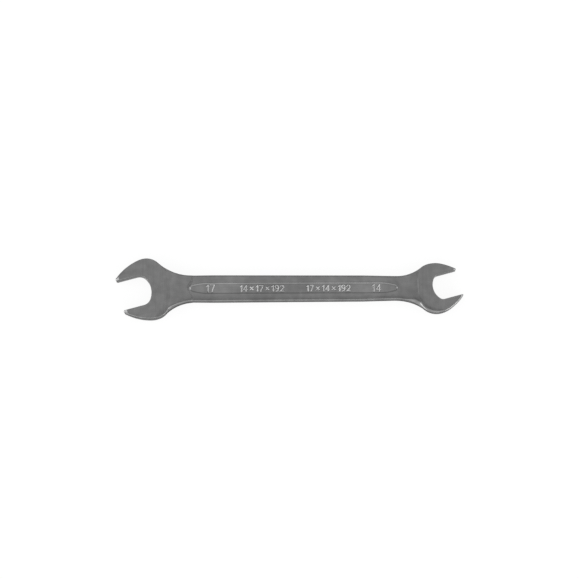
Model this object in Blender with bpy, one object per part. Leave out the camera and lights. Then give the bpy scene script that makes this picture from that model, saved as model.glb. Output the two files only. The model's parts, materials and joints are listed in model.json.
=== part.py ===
"""Double open end wrench: one forged bar with a large jaw at its left end and a small jaw at its right end.

The plan lies in X and Y, with the large head at -X, and the thickness runs along Z.
Plan points are complex numbers, x + y j. Lengths are in metres.
"""

import cmath
import math
from typing import NamedTuple

import bmesh
import bpy
import numpy

# Whole wrench
OVERALL_LENGTH = 0.1920
JAW_ANGLE = math.radians(15.0)

# Large head
LARGE_OPENING = 0.0170
LARGE_WIDTH = 0.0343
LARGE_THICKNESS = 0.0068
LARGE_REACH = 0.01715
LARGE_THROAT_DEPTH = 0.0006
LARGE_THROAT_RADIUS = 0.0116
LARGE_CORNER_RADIUS = 0.0050
LARGE_SLOT_SHIFT = -0.0002
LARGE_NOSE_RADIUS = 0.0017
LARGE_JAW_RADIUS = 0.0290
LARGE_CROWN_RADIUS = 0.0150
LARGE_SHOULDER_RADIUS = 0.0094
LARGE_OPEN_NECK_RADIUS = 0.0222
LARGE_STEEP_NECK_RADIUS = 0.0276
LARGE_FACE_SETBACK = 0.0117
LARGE_CENTRE_DROP = 0.0

# Small head
SMALL_OPENING = 0.0140
SMALL_WIDTH = 0.0281
SMALL_THICKNESS = 0.0056
SMALL_REACH = 0.01435
SMALL_THROAT_DEPTH = 0.0009
SMALL_THROAT_RADIUS = 0.0090
SMALL_CORNER_RADIUS = 0.0030
SMALL_SLOT_SHIFT = -0.0003
SMALL_NOSE_RADIUS = 0.0011
SMALL_JAW_RADIUS = 0.0330
SMALL_CROWN_RADIUS = 0.0158
SMALL_SHOULDER_RADIUS = 0.0106
SMALL_OPEN_NECK_RADIUS = 0.0208
SMALL_STEEP_NECK_RADIUS = 0.0285
SMALL_FACE_SETBACK = 0.0092
SMALL_CENTRE_DROP = 0.00035

# Both heads
FACE_EDGE_RADIUS = 0.00075
FACE_CORNER_RADIUS = 0.0030
SLOT_CHAMFER = 0.0003

# Shank and necks
SHANK_THICKNESS = 0.0048
SHANK_EDGE_RADIUS = 0.0016
LARGE_WAIST_WIDTH = 0.01487
LARGE_HIP_WIDTH = 0.01510
LARGE_HIP_SETBACK = 0.0355
SMALL_WAIST_WIDTH = 0.01350
SMALL_HIP_WIDTH = 0.01435
SMALL_HIP_SETBACK = 0.0400
HIP_RADIUS = 0.0600
NECK_STEP = 0.0003
NECK_INSET = 0.00015
NECK_CROWN_WIDTH = 0.0036
NECK_ROOT = 0.0040

# Long recess in each broad face of the shank
PANEL_WIDTH = 0.0065
PANEL_DEPTH = 0.0005
PANEL_WALL_RUN = 0.0007
PANEL_TIP_RADIUS = 0.0015
PANEL_SIDE_RADIUS = 0.0250
PANEL_TAPER = 0.0105
LARGE_PANEL_SETBACK = 0.0218
SMALL_PANEL_SETBACK = 0.0202

# Raised plain numbers on the floor of the recess
MARK_HEIGHT = 0.0039
MARK_RISE = 0.00035
MARK_ROOT = 0.0003
LARGE_MARK_INSET = 0.0120
SMALL_MARK_INSET = 0.0118
MARK_PAIR_GAP = 0.0370

# Making
ARC_TOLERANCE = 0.00002
OVERRUN = 0.0020
MERGE_GAP = 0.000001
EDGE_STEPS = 3
NECK_STATIONS = 14

# Plans of the signs, counterclockwise, in shares of their height
GLYPH_SHARES = {
    "1": ((0.18, 0.0), (0.34, 0.0), (0.34, 1.0), (0.20, 1.0), (0.0, 0.80), (0.0, 0.62), (0.18, 0.76)),
    "4": ((0.36, 0.0), (0.51, 0.0), (0.51, 0.22), (0.60, 0.22), (0.60, 0.36), (0.51, 0.36), (0.51, 0.62),
          (0.36, 0.62), (0.36, 0.36), (0.19, 0.36), (0.38, 1.0), (0.22, 1.0), (0.0, 0.34), (0.0, 0.22),
          (0.36, 0.22)),
    "7": ((0.10, 0.0), (0.27, 0.0), (0.56, 0.86), (0.56, 1.0), (0.0, 1.0), (0.0, 0.86), (0.39, 0.86)),
    "×": ((0.10, 0.20), (0.30, 0.40), (0.50, 0.20), (0.60, 0.30), (0.40, 0.50), (0.60, 0.70), (0.50, 0.80),
          (0.30, 0.60), (0.10, 0.80), (0.0, 0.70), (0.20, 0.50), (0.0, 0.30)),
}
GLYPH_GAP_SHARE = 0.24
MIDDLE_SHARE = 0.5

STEEL_COLOUR = (0.18, 0.18, 0.18, 1.0)
STEEL_ROUGHNESS = 0.38


class Round(NamedTuple):
    """One arc of an outline: material lies inside a positive radius and outside a negative one."""

    centre: complex
    radius: float


class Head(NamedTuple):
    """Sizes of one head. Direction is +1 where it points along +X and -1 where it points along -X."""

    direction: int
    opening: float
    width: float
    thickness: float
    reach: float
    throat_depth: float
    throat_radius: float
    corner_radius: float
    slot_shift: float
    nose_radius: float
    jaw_radius: float
    crown_radius: float
    shoulder_radius: float
    open_neck_radius: float
    steep_neck_radius: float
    face_setback: float
    centre_drop: float
    waist_width: float
    hip_width: float
    hip_setback: float
    panel_setback: float


LARGE = Head(-1, LARGE_OPENING, LARGE_WIDTH, LARGE_THICKNESS, LARGE_REACH, LARGE_THROAT_DEPTH,
             LARGE_THROAT_RADIUS, LARGE_CORNER_RADIUS, LARGE_SLOT_SHIFT, LARGE_NOSE_RADIUS,
             LARGE_JAW_RADIUS, LARGE_CROWN_RADIUS, LARGE_SHOULDER_RADIUS, LARGE_OPEN_NECK_RADIUS,
             LARGE_STEEP_NECK_RADIUS, LARGE_FACE_SETBACK, LARGE_CENTRE_DROP, LARGE_WAIST_WIDTH,
             LARGE_HIP_WIDTH, LARGE_HIP_SETBACK, LARGE_PANEL_SETBACK)

SMALL = Head(1, SMALL_OPENING, SMALL_WIDTH, SMALL_THICKNESS, SMALL_REACH, SMALL_THROAT_DEPTH,
             SMALL_THROAT_RADIUS, SMALL_CORNER_RADIUS, SMALL_SLOT_SHIFT, SMALL_NOSE_RADIUS,
             SMALL_JAW_RADIUS, SMALL_CROWN_RADIUS, SMALL_SHOULDER_RADIUS, SMALL_OPEN_NECK_RADIUS,
             SMALL_STEEP_NECK_RADIUS, SMALL_FACE_SETBACK, SMALL_CENTRE_DROP, SMALL_WAIST_WIDTH,
             SMALL_HIP_WIDTH, SMALL_HIP_SETBACK, SMALL_PANEL_SETBACK)


def head_centre(head):
    """Centre of a head in plan, set so that the jaw tips end at half the overall length."""
    tip = (head.reach - head.nose_radius) * math.cos(JAW_ANGLE)
    tip += (head.opening / 2 - head.slot_shift) * math.sin(JAW_ANGLE) + head.nose_radius
    return complex(head.direction * (OVERALL_LENGTH / 2 - tip), -head.centre_drop)


def along_slot(head, along, across):
    """Plan point given along and across a head's slot, measured from the head's centre."""
    return head_centre(head) + head.direction * complex(along, across) * cmath.rect(1.0, JAW_ANGLE)


def circles_meet(first, first_distance, second, second_distance):
    """Point at the two distances from two points, on the right of the line from first to second."""
    gap = second - first
    span = abs(gap)
    along = (first_distance ** 2 - second_distance ** 2 + span ** 2) / (2 * span)
    aside = math.sqrt(max(0.0, first_distance ** 2 - along ** 2))
    return first + gap / span * complex(along, -aside)


def shoulder(head, side):
    """Round at the back of the head, where it turns into the neck. Side is +1 on the slot's open side."""
    across = side * (head.width / 2 - head.shoulder_radius)
    return Round(along_slot(head, 0.0, across), head.shoulder_radius)


def jaw(head, side):
    """Crown, outer flank and nose of one jaw, from the widest point of the head to the tip."""
    crown = Round(along_slot(head, 0.0, side * (head.width / 2 - head.crown_radius)), head.crown_radius)
    nose_across = head.slot_shift + side * head.opening / 2
    nose = Round(along_slot(head, head.reach - head.nose_radius, nose_across), head.nose_radius)
    to_crown = head.jaw_radius - head.crown_radius
    to_nose = head.jaw_radius - head.nose_radius
    if side > 0:
        flank = circles_meet(crown.centre, to_crown, nose.centre, to_nose)
    else:
        flank = circles_meet(nose.centre, to_nose, crown.centre, to_crown)
    return [crown, Round(flank, head.jaw_radius), nose]


def neck(head, side):
    """Hollow round between head and shank, touching the waist and the shoulder set in by the neck's inset."""
    radius = head.open_neck_radius if side > 0 else head.steep_neck_radius
    behind = shoulder(head, side)
    height = head.direction * side * (head.waist_width / 2 + radius)
    reach = radius + behind.radius - NECK_INSET
    aside = math.sqrt(reach ** 2 - (height - behind.centre.imag) ** 2)
    return Round(complex(behind.centre.real - head.direction * aside, height), -radius)


def face_corner(head, side):
    """Round where the flat face's back edge meets the neck, touching the neck's hollow round."""
    hollow = neck(head, side)
    offset = head.face_setback - FACE_CORNER_RADIUS
    across = head_centre(head).real - head.direction * offset
    reach = FACE_CORNER_RADIUS + abs(hollow.radius) - NECK_INSET
    aside = math.sqrt(reach ** 2 - (across - hollow.centre.real) ** 2)
    height = hollow.centre.imag - head.direction * side * aside
    return Round(complex(across, height), FACE_CORNER_RADIUS)


def hip(head, top):
    """Full round where the shank reaches its own width. Top is +1 on the edge at +Y."""
    across = head_centre(head).real - head.direction * head.hip_setback
    return Round(complex(across, top * (head.hip_width / 2 - HIP_RADIUS)), HIP_RADIUS)


def tangent_angle(first, second):
    """Angle of the outward normal of the line that joins two rounds of an outline."""
    gap = second.centre - first.centre
    cosine = (first.radius - second.radius) / abs(gap)
    return cmath.phase(gap) - math.acos(max(-1.0, min(1.0, cosine)))


def arc(round_, start, end):
    """Points and outward normals along a round, close enough to the true arc, with both its ends."""
    sweep = math.remainder(end - start, math.tau)
    step = 2 * math.acos(1 - min(1.0, ARC_TOLERANCE / abs(round_.radius)))
    count = max(1, math.ceil(abs(sweep) / step))
    normals = [cmath.rect(1.0, start + sweep * index / count) for index in range(count + 1)]
    return [(round_.centre + round_.radius * normal, normal) for normal in normals]


def outline(rounds):
    """Points and normals of the closed outline that runs counterclockwise round all the rounds."""
    before = rounds[-1:] + rounds[:-1]
    after = rounds[1:] + rounds[:1]
    samples = []
    for last, here, following in zip(before, rounds, after):
        samples += arc(here, tangent_angle(last, here), tangent_angle(here, following))
    previous = samples[-1:] + samples[:-1]
    return [new for new, old in zip(samples, previous) if abs(new[0] - old[0]) > MERGE_GAP]


def shank_edge(top):
    """X and Y of one long edge of the shank and its necks, in order of X. Top is +1 at +Y."""
    heads = [SMALL, LARGE] if top > 0 else [LARGE, SMALL]
    first_side = top * heads[0].direction
    second_side = top * heads[1].direction
    first = shoulder(heads[0], first_side)
    second = shoulder(heads[1], second_side)
    rounds = [
        Round(first.centre, first.radius - NECK_INSET),
        neck(heads[0], first_side),
        hip(heads[0], top),
        hip(heads[1], top),
        neck(heads[1], second_side),
        Round(second.centre, second.radius - NECK_INSET),
    ]
    upright = top * math.pi / 2
    angles = [tangent_angle(*pair) for pair in zip(rounds, rounds[1:])]
    samples = []
    for here, start, end in zip(rounds, [upright] + angles, angles + [upright]):
        samples += arc(here, start, end)
    points = sorted((point for point, _ in samples), key=lambda point: point.real)
    return [point.real for point in points], [point.imag for point in points]


def new_object(name, mesh, holder):
    """Object in the scene, carried by the holder empty."""
    piece = bpy.data.objects.new(name, mesh)
    bpy.context.scene.collection.objects.link(piece)
    piece.parent = holder
    return piece


def add_shell(shape, rings):
    """Adds a closed shell through rings of points, each seen counterclockwise from the last ring."""
    loops = [[shape.verts.new(point) for point in ring] for ring in rings]
    for lower, upper in zip(loops, loops[1:]):
        for index in range(len(lower)):
            following = (index + 1) % len(lower)
            shape.faces.new((lower[index], lower[following], upper[following], upper[index]))
    shape.faces.new(reversed(loops[0]))
    shape.faces.new(loops[-1])


def finished_mesh(name, shape):
    """Mesh data of a bmesh, shaded smooth."""
    mesh = bpy.data.meshes.new(name)
    shape.to_mesh(mesh)
    shape.free()
    mesh.shade_smooth()
    return mesh


def ringed_solid(name, rings, holder):
    """Solid through rings of points, with flat ends."""
    shape = bmesh.new()
    add_shell(shape, rings)
    return new_object(name, finished_mesh(name, shape), holder)


def slab(name, rounds, levels, holder):
    """Solid with an outline of rounds, moved outwards by each level's growth at that level's height."""
    samples = outline(rounds)
    rings = []
    for height, growth in levels:
        points = [point + growth * normal for point, normal in samples]
        rings.append([(point.real, point.imag, height) for point in points])
    return ringed_solid(name, rings, holder)


def rounded_levels(thickness, radius):
    """Heights and growths of a slab about Z = 0 whose two outer edges are rounded."""
    turns = [math.pi / 2 * step / EDGE_STEPS for step in range(EDGE_STEPS + 1)]
    upper = [(thickness / 2 - radius + radius * math.sin(turn), radius * (math.cos(turn) - 1)) for turn in turns]
    lower = [(-height, growth) for height, growth in reversed(upper)]
    return lower + upper


def head_blank(name, head, holder):
    """Thick flat head before its slot is cut, with a straight back edge across the neck."""
    rounds = [shoulder(head, -1)] + jaw(head, -1) + jaw(head, 1)[::-1] + [shoulder(head, 1)]
    if head.direction > 0:
        rounds += [neck(head, 1)._replace(radius=NECK_INSET - head.open_neck_radius), face_corner(head, 1)]
    else:
        rounds += [face_corner(head, -1), neck(head, -1)._replace(radius=NECK_INSET - head.steep_neck_radius)]
    return slab(name, rounds, rounded_levels(head.thickness, FACE_EDGE_RADIUS), holder)


def slot_cutter(name, head, holder):
    """Slot with parallel flats, a rounded throat and a small chamfer at both faces."""
    half = head.opening / 2
    throat_along = head.throat_radius - head.throat_depth
    inner = head.throat_radius - head.corner_radius
    corner_across = half - head.corner_radius
    corner_along = throat_along - math.sqrt(inner ** 2 - corner_across ** 2)
    mouth_along = head.reach + OVERRUN + head.corner_radius

    def place(along, across, radius):
        return Round(along_slot(head, along, head.slot_shift + across), radius)

    rounds = [
        place(mouth_along, -corner_across, head.corner_radius),
        place(mouth_along, corner_across, head.corner_radius),
        place(corner_along, corner_across, head.corner_radius),
        place(throat_along, 0.0, head.throat_radius),
        place(corner_along, -corner_across, head.corner_radius),
    ]
    face = head.thickness / 2
    upper = [(face - SLOT_CHAMFER, 0.0), (face + OVERRUN, SLOT_CHAMFER + OVERRUN)]
    lower = [(-height, growth) for height, growth in reversed(upper)]
    return slab(name, rounds, lower + upper, holder)


def ease(value):
    """Smooth step from 0 to 1 as the value goes from 0 to 1."""
    value = max(0.0, min(1.0, value))
    return value * value * (3 - 2 * value)


def shank_section(x, edges):
    """Ring of points across the shank at x: a flat oval that is crowned and thicker near a head."""
    lower, upper = (numpy.interp(x, *edge) for edge in edges)
    head = LARGE if x < 0 else SMALL
    from_centre = abs(x - head_centre(head).real)
    share = ease((head.panel_setback - from_centre) / (head.panel_setback - head.face_setback))
    half_thickness = SHANK_THICKNESS / 2
    half_thickness += share * (head.thickness / 2 - NECK_STEP - half_thickness)
    crown = SHANK_EDGE_RADIUS + share * (NECK_CROWN_WIDTH - SHANK_EDGE_RADIUS)
    ring = []
    for turn_y, turn_z in ((1, 1), (-1, 1), (-1, -1), (1, -1)):
        angles = [math.pi / 2 * step / EDGE_STEPS for step in range(EDGE_STEPS + 1)]
        if turn_y * turn_z < 0:
            angles.reverse()
        edge = upper if turn_y > 0 else lower
        for angle in angles:
            y = edge - turn_y * crown * (1 - math.cos(angle))
            z = turn_z * (half_thickness - SHANK_EDGE_RADIUS * (1 - math.sin(angle)))
            ring.append((x, y, z))
    return ring


def shank_stations():
    """X of each ring: close together in the necks, and one long plain run between the hips."""
    stations = []
    for head in (LARGE, SMALL):
        centre = head_centre(head).real
        setbacks = numpy.linspace(NECK_ROOT, head.hip_setback, NECK_STATIONS)
        stations += [float(centre - head.direction * setback) for setback in setbacks]
    return sorted(stations)


def shank(name, holder):
    """Flat oval bar that widens through a neck into each head."""
    edges = (shank_edge(-1), shank_edge(1))
    rings = [shank_section(x, edges) for x in shank_stations()]
    return ringed_solid(name, rings, holder)


def panel_cutter(name, face, holder):
    """Long shallow recess with boat-shaped ends and sloping walls. Face is +1 on top."""
    ends = {head: head_centre(head).real - head.direction * head.panel_setback for head in (LARGE, SMALL)}
    rounds = []
    for head, top in ((SMALL, 1), (LARGE, -1)):
        tip_centre = ends[head] - head.direction * PANEL_TIP_RADIUS
        rounds.append(Round(complex(tip_centre, 0.0), PANEL_TIP_RADIUS))
        for flank in (head, SMALL if head is LARGE else LARGE):
            across = ends[flank] - flank.direction * PANEL_TAPER
            rounds.append(Round(complex(across, top * (PANEL_WIDTH / 2 - PANEL_SIDE_RADIUS)), PANEL_SIDE_RADIUS))
    rim = SHANK_THICKNESS / 2
    flare = PANEL_WALL_RUN * OVERRUN / PANEL_DEPTH
    levels = [(rim - PANEL_DEPTH, -PANEL_WALL_RUN), (rim + OVERRUN, flare)]
    if face < 0:
        levels = [(-height, growth) for height, growth in reversed(levels)]
    return slab(name, rounds, levels, holder)


def number_mark(name, text, x, face, holder):
    """Raised plain number, rooted in the floor of the recess and read along X. Face is +1 on top."""
    floor = SHANK_THICKNESS / 2 - PANEL_DEPTH
    widths = [max(point[0] for point in GLYPH_SHARES[sign]) + GLYPH_GAP_SHARE for sign in text]
    start_share = (GLYPH_GAP_SHARE - sum(widths)) / 2
    shape = bmesh.new()
    for sign, width in zip(text, widths):
        plan = [((start_share + across) * MARK_HEIGHT, (up - MIDDLE_SHARE) * MARK_HEIGHT)
                for across, up in GLYPH_SHARES[sign]]
        add_shell(shape, [[(*point, height) for point in plan] for height in (floor - MARK_ROOT, floor + MARK_RISE)])
        start_share += width
    mark = new_object(name, finished_mesh(name, shape), holder)
    mark.location.x = x
    if face < 0:
        mark.rotation_euler.x = math.pi
    return mark


def number_marks(holder):
    """Opening size beside each head on both faces, and both sizes along the middle of the top face."""
    large_end = head_centre(LARGE).real + LARGE_PANEL_SETBACK
    small_end = head_centre(SMALL).real - SMALL_PANEL_SETBACK
    marks = []
    for face, side_name in ((1, "top"), (-1, "under")):
        marks.append(number_mark(f"large_size_{side_name}", "17", large_end + LARGE_MARK_INSET, face, holder))
        marks.append(number_mark(f"small_size_{side_name}", "14", small_end - SMALL_MARK_INSET, face, holder))
    middle = (large_end + small_end) / 2
    for place, text in ((-1, "14×17"), (1, "17×14")):
        x = middle + place * MARK_PAIR_GAP / 2
        marks.append(number_mark(f"pair_of_sizes_{place}", text, x, 1, holder))
    return marks


def combine(piece, other, operation):
    """Boolean of the piece with a helper that isn't itself part of the object."""
    modifier = piece.modifiers.new(f"{operation.lower()} {other.name}", "BOOLEAN")
    modifier.operation = operation
    modifier.solver = "EXACT"
    modifier.object = other
    other.hide_render = True
    other.display_type = "WIRE"


def ground_steel():
    """Dark satin alloy steel."""
    material = bpy.data.materials.new("ground alloy steel")
    material.use_nodes = True
    surface = material.node_tree.nodes["Principled BSDF"]
    surface.inputs["Base Color"].default_value = STEEL_COLOUR
    surface.inputs["Metallic"].default_value = 1.0
    surface.inputs["Roughness"].default_value = STEEL_ROUGHNESS
    return material


def main():
    for old in list(bpy.data.objects):
        bpy.data.objects.remove(old)
    holder = bpy.data.objects.new("middle_plane", None)
    bpy.context.scene.collection.objects.link(holder)
    holder.location.z = LARGE_THICKNESS / 2
    forging = shank("wrench_forging", holder)
    forging.data.materials.append(ground_steel())
    for name, head in (("large", LARGE), ("small", SMALL)):
        combine(forging, head_blank(f"{name}_head_blank", head, holder), "UNION")
        combine(forging, slot_cutter(f"{name}_slot_cutter", head, holder), "DIFFERENCE")
    for name, face in (("top", 1), ("under", -1)):
        combine(forging, panel_cutter(f"{name}_panel_cutter", face, holder), "DIFFERENCE")
    for mark in number_marks(holder):
        combine(forging, mark, "UNION")


main()
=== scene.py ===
"""Looks of a double open end wrench: one forged steel bar with two unlike jaws, lying on a pale floor.

Lengths are in metres. The plan lies in X and Y with the large head at -X, and the thickness runs along Z.
Plan points are complex numbers, x + y j.
"""

import cmath
import json
import math
from collections import namedtuple
from typing import NamedTuple

import bpy
import numpy as np
from bpy.props import FloatProperty, FloatVectorProperty, PointerProperty
from mathutils import Matrix, Vector


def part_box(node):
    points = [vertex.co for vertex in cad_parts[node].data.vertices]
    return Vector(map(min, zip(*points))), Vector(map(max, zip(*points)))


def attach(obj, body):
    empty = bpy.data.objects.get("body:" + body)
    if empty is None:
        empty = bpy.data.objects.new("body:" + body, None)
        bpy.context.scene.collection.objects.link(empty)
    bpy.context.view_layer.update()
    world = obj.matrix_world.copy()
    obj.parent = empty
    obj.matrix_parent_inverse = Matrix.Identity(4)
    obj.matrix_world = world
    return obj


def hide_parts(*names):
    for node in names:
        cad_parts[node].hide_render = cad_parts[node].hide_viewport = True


bl_info = {
    "name": "Double Open End Wrench",
    "version": (1, 0, 0),
    "blender": (4, 5, 0),
    "location": "3D View > Sidebar > Wrench",
    "description": "Forged wrench with two open jaws, its raised size numbers and a pale studio",
    "category": "Add Mesh",
}

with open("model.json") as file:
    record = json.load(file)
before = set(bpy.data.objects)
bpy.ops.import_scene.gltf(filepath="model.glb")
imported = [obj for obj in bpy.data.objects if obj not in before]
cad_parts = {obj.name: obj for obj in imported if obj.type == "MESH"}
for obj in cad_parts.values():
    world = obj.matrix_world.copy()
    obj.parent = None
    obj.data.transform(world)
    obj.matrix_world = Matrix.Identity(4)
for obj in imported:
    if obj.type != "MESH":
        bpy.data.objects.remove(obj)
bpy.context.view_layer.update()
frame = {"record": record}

NODE = "wrench_forging"
BODY = "root"
LOWEST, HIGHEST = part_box(NODE)
MIDDLE_HEIGHT = (LOWEST.z + HIGHEST.z) / 2
MOUNTS = {mount["name"]: mount for mount in frame["record"]["mounts"]}


class Rim(NamedTuple):
    """Section of the edge where a broad face turns into a side.

    Width and height are what the edge takes of the face and of the side. Bevel is 1 for a rounded edge and
    nears 2 for a straight bevel. Skirt is a band of the face inside the edge, which falls by drop. Slot is 1
    on the sides of a slot.
    """

    width: float = 0.0
    height: float = 0.0
    bevel: float = 1.0
    skirt: float = 0.00012
    drop: float = 0.0
    slot: float = 0.0


# Edges
FLAT_BEVEL = 1.6
NOSE_BEVEL = 1.75
NOSE_SLOPE = 0.64
NOSE_RIM_SHARE = 0.28
TIP_RIM_SHARE = 0.70
TIP_RADIUS_SHARE = 0.40
LOWER_OUTER_RIM = Rim(width=0.0007, height=0.0005, bevel=FLAT_BEVEL)
UPPER_NECK_RIM = Rim(width=0.0010, height=0.0009)
SHANK_RIM = Rim(width=0.0013, height=0.0013)
FACE_CORNER_RADIUS = 0.0022
FACE_CORNER_RIM = Rim(width=0.0012, height=0.00026, bevel=FLAT_BEVEL, skirt=0.0014, drop=0.00022)
STRAIGHT_STEP_RIM = Rim(width=0.0009, height=0.00026, bevel=NOSE_BEVEL)
ROUND_STEP_RIM = Rim(width=0.0009, height=0.00026, bevel=FLAT_BEVEL, skirt=0.0030, drop=0.00014)
ROUND_STEP_RADIUS = 0.0227
ROUND_STEP_Y = -0.0021
WIDEST_RIM_SHARE = 0.9
RIM_KEPT = (0.0, 0.3, 0.7, 1.0)
LEAST_SLOT_SHARE = 0.45

# Plans of the heads: each size with its value for the large and for the small head
HEAD_PLANS = dict(
    direction=(-1, 1),
    centre_drop=(0.0, 0.00031),
    reach=(0.01730, 0.01435),
    throat_depth=(0.0007, 0.0009),
    throat_radius=(0.0116, 0.0090),
    corner_radius=(0.0050, 0.0030),
    slot_shift=(-0.00027, -0.00026),
    nose_radius=(0.0019, 0.0013),
    jaw_radius=(0.0300, 0.0325),
    crown_radius=(0.0150, 0.0158),
    shoulder_radius=(0.0095, 0.0104),
    open_neck_radius=(0.0222, 0.0212),
    steep_neck_radius=(0.0276, 0.0276),
    face_setback=(0.0095, 0.0100),
    step_setback=(0.0123, 0.0100),
    waist_width=(0.01487, 0.01350),
    hip_width=(0.01510, 0.01435),
    hip_setback=(0.0355, 0.0400),
    recess_setback=(0.0218, 0.0202),
    back_rim=(Rim(width=0.0005, height=0.0005, skirt=0.0040, drop=0.00045),
              Rim(width=0.0015, height=0.0007, bevel=FLAT_BEVEL, skirt=0.0022, drop=0.00018)),
    lower_neck_rim=(Rim(width=0.0019, height=0.0014, bevel=FLAT_BEVEL),
                    Rim(width=0.0029, height=0.0015, bevel=FLAT_BEVEL)),
)
OWN_SIZES = ("opening", "width", "thickness")
COMMON_SIZES = ("angle", "outer_edge", "slot_edge")

# Shank, necks and recess
SHANK_RIM_DROP = 0.00012
HIP_RADIUS = 0.0600
NECK_STEP = 0.0002
FACE_INSET = 0.00015
NECK_TUCK_RADIUS = 0.0030
NECK_RIM_LAG = 2.5
NECK_LEAD = 0.0004
NECK_RISE_RUN = 0.0022
NECK_RISE_BOW = 0.0022
NECK_RISE_SPREAD = 0.0050
NECK_RISE_SHARE = 0.75
NECK_ROOT = 0.0040
RECESS_WALL_RUN = 0.0010
RECESS_CORNER_SHARE = 0.2
RECESS_TIP_RADIUS = 0.0021
RECESS_SIDE_RADIUS = 0.0330
RECESS_TAPER = 0.0105
# Painted highlight on the floor of the recess: how far from each end of the recess it reaches, and the run
# over which it fades in and out
RECESS_SHEEN_END = 0.0290
RECESS_SHEEN_RUN = 0.0080

# Raised numbers: middle lines of the strokes in shares of the number's height
FIGURE_STROKES = {
    "1": (((0.0, 0.74), (0.26, 1.0), (0.26, 0.0)),),
    "2": (((0.0, 0.78), (0.13, 1.0), (0.44, 1.0), (0.56, 0.80), (0.52, 0.58), (0.0, 0.0), (0.58, 0.0)),),
    "4": (((0.46, 0.0), (0.46, 1.0), (0.0, 0.30), (0.64, 0.30)),),
    "7": (((0.0, 1.0), (0.58, 1.0), (0.20, 0.0)),),
    "9": (((0.56, 0.64), (0.43, 0.45), (0.14, 0.45), (0.0, 0.62), (0.0, 0.84), (0.14, 1.0), (0.42, 1.0),
           (0.56, 0.84), (0.56, 0.40), (0.40, 0.08), (0.14, 0.0)),),
    "×": (((0.0, 0.24), (0.48, 0.76)), ((0.0, 0.76), (0.48, 0.24))),
    " ": (),
}
FIGURE_GAP_SHARE = 0.30
SPACE_SHARE = 0.22
STROKE_HALF_WIDTH = 0.00032
STROKE_SLOPE = 0.00020
NUMBER_ROOT = 0.00020
NUMBER_MARGIN = 0.0006
SIZE_HEIGHT_SHARE = 1.18
LARGE_NUMBER_PLACE = -0.0436
SMALL_NUMBER_PLACE = 0.0482
LEFT_PAIR_PLACE = -0.0151
RIGHT_PAIR_PLACE = 0.0216

# Fineness of the meshes
MAX_TURN = math.radians(5.0)
ARC_SPACING = 0.0005
EDGE_STEPS = 8
SHANK_EDGE_POINTS = 11
SKIRT_STEPS = 5
RIM_STEPS = 6
TIP_SPACING = 0.00020
NECK_SPACING = 0.00045
SHANK_SPACING = 0.0015
ACROSS_SPACING = 0.00014
NUMBER_SPACING = 0.00008
MERGE_GAP = 0.000002
TIP_CLEARANCE = 0.000002
FLOOR_POINTS = 3

# Surface of the steel
SCRATCH_TURN = math.radians(9.0)
SCRATCH_START = 0.66
SCRATCH_FULL = 0.74
LEAST_EDGE_WEAR = 0.4
# Least share of the painted glint at the jaw tips, where the spots are lowest
LEAST_TIP_GLINT = 0.8
GRAIN_ROUGHNESS = 0.05
CLOUD_ROUGHNESS = 0.03
RUBBED_SMOOTHNESS = 0.12
# Painted glint at the jaw tips: how far back from the tip it starts, in nose radii, and the run over which it
# comes in
TIP_GLINT_SHARE = 1.25
TIP_GLINT_RUN = 0.0004
# Run along X over which the painted shade and painted light at the heads' steps fade out
STEP_SHADE_RUN = 0.0045

# Floor, camera and lamps
FLOOR_SIZE = 16.0
FLOOR_GAP = 0.00002
MOTTLE_SIZE = 0.002
MOTTLE_DARKEST = 0.99
OWN_WHITE_SHARE = 0.90
CAMERA_AIM = Vector((0.00009, -0.00040, MIDDLE_HEIGHT))

# Name, azimuth and elevation in degrees, distance, width, height, brightness
LAMPS = (
    ("overhead softbox", 180.0, 64.0, 1.2, 1.6, 1.07, 0.39),
    ("front softbox", 0.0, 36.0, 1.2, 2.0, 0.60, 0.95),
    ("left softbox", -80.0, 24.0, 1.2, 2.0, 0.4, 4.5),
    ("right softbox", 80.0, 24.0, 1.2, 2.0, 0.4, 3.6),
)


def jaw_opening(head_name):
    """Distance between the two flats of a jaw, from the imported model's mounts."""
    first, second = (MOUNTS[f"{head_name}_jaw_flat_{letter}"] for letter in "ab")
    return abs((Vector(first["pos_m"]) - Vector(second["pos_m"])).dot(Vector(first["axis"])))


def jaw_angle():
    """Angle between the large jaw's slot and the shank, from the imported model's mounts."""
    axis = MOUNTS["large_jaw_flat_a"]["axis"]
    return math.atan2(abs(axis[0]), abs(axis[1]))


def length(name, description, default):
    """Property for a length in metres."""
    return FloatProperty(name=name, description=description, default=default, min=0.0, unit="LENGTH",
                         precision=5)


def share(name, description, default, highest=1.0):
    """Property for a plain number from zero up."""
    return FloatProperty(name=name, description=description, default=default, min=0.0, max=highest)


def to_linear(code):
    """Linear red, green, blue and alpha of an sRGB hex colour."""
    parts = np.array([int(code[place:place + 2], 16) for place in (1, 3, 5)]) / 255
    linear = np.where(parts <= 0.04045, parts / 12.92, ((parts + 0.055) / 1.055) ** 2.4)
    return (*(float(part) for part in linear), 1.0)


def colour(name, description, code):
    """Property for a colour, whose default is given as sRGB hex."""
    return FloatVectorProperty(name=name, description=description, default=to_linear(code), size=4, min=0.0,
                               max=1.0, subtype="COLOR")


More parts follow.
